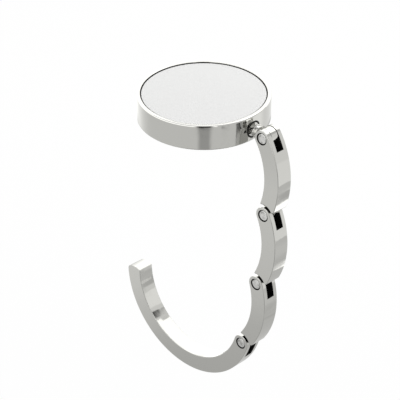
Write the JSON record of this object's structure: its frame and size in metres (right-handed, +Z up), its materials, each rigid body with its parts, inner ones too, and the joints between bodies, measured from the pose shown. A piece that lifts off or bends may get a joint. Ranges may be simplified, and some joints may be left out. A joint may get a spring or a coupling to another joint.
{
  "type": "purse hook",
  "caption": "Round disc that rests on a table top, with a hinged chain of curved links that ends in a bag hook and folds into a ring round the disc.",
  "frame": {"origin": "centre of the grip pad's underside, the face that rests on the table", "axes": "+Z up out of the disc's top face, +X along the swivel stud towards the chain, Y across the chain, which hangs turned 2.9 degrees about the stud"},
  "size_m": [0.0542, 0.035, 0.0869],
  "materials": {
    "chrome_plate": "polished chrome plate",
    "pin_steel": "bright plated steel, slightly scuffed",
    "spring_steel": "dark oiled spring steel",
    "plated_steel": "dull zinc plate",
    "pale_inlay": "pale grey, satin",
    "black_rubber": "matt black"
  },
  "bodies": {
    "disc": {"disc_shell": "chrome_plate", "inlay_disc": "pale_inlay", "base_plate": "plated_steel", "grip_pad": "black_rubber", "flat_washer": "plated_steel", "wave_washer": "spring_steel"},
    "knuckle": {"swivel_knuckle": "chrome_plate", "retaining_clip": "spring_steel"},
    "upper_link": {"link_1": "chrome_plate", "hinge_pin_1": "pin_steel"},
    "middle_link": {"link_2": "chrome_plate", "hinge_pin_2": "pin_steel"},
    "lower_link": {"link_3": "chrome_plate", "hinge_pin_3": "pin_steel"},
    "hook": {"hook_arm": "chrome_plate", "hinge_pin_4": "pin_steel"}
  },
  "joints": [
    {"name": "swivel", "type": "hinge", "parent": "disc", "child": "knuckle", "pos_m": [0, 0, 0.00352], "axis": [1, 0, 0], "continuous": true},
    {"name": "hinge_1", "type": "hinge", "parent": "knuckle", "child": "upper_link", "pos_m": [0.0224, 0, 0.00352], "axis": [0, 0.9987, -0.0506], "range_deg": [0, 36]},
    {"name": "hinge_2", "type": "hinge", "parent": "upper_link", "child": "middle_link", "pos_m": [0.02448, -0.00109, -0.01807], "axis": [0, 0.9987, -0.0506], "range_deg": [0, 53]},
    {"name": "hinge_3", "type": "hinge", "parent": "middle_link", "child": "lower_link", "pos_m": [0.02353, -0.00219, -0.03975], "axis": [0, 0.9987, -0.0506], "range_deg": [0, 53]},
    {"name": "hinge_4", "type": "hinge", "parent": "lower_link", "child": "hook", "pos_m": [0.01958, -0.00327, -0.06108], "axis": [0, 0.9987, -0.0506], "range_deg": [0, 26]}
  ]
}
